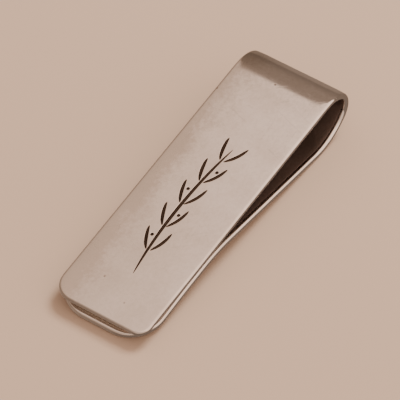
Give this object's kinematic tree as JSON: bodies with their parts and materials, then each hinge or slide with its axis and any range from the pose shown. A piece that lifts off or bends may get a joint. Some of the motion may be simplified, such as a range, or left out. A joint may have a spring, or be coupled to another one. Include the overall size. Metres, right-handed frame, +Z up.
{
  "type": "money clip",
  "caption": "Spring money clip bent from one strip of polished silver: engraved flat front leaf, round fold, back leaf that grips folded notes, and a turned-down tongue.",
  "frame": {"origin": "on the table that the clip lies on, under the middle of its bounding box", "axes": "+X from the mouth to the fold, +Y across the strip, +Z up; the clip lies on its fold and its tongue, so the front leaf leans 7.6 degrees"},
  "size_m": [0.058, 0.0176, 0.0101],
  "materials": {
    "front_leaf": "satin-polished silver with a dark oxidised engraving",
    "fold_upper": "polished silver",
    "fold_lower": "polished silver",
    "spring_leaf": "polished silver",
    "tongue": "polished silver"
  },
  "bodies": {
    "spring_arm": {"fold_lower": "fold_lower", "spring_leaf": "spring_leaf", "tongue": "tongue"},
    "clip_front": {"front_leaf": "front_leaf", "fold_upper": "fold_upper"}
  },
  "joints": [
    {"name": "spring_opening", "type": "hinge", "parent": "spring_arm", "child": "clip_front", "pos_m": [0.02838, 0, 0.00597], "axis": [0, 1, 0], "range_deg": [0, 8], "stiffness_Nm_per_rad": 5.9, "springref_deg": -1.72}
  ]
}
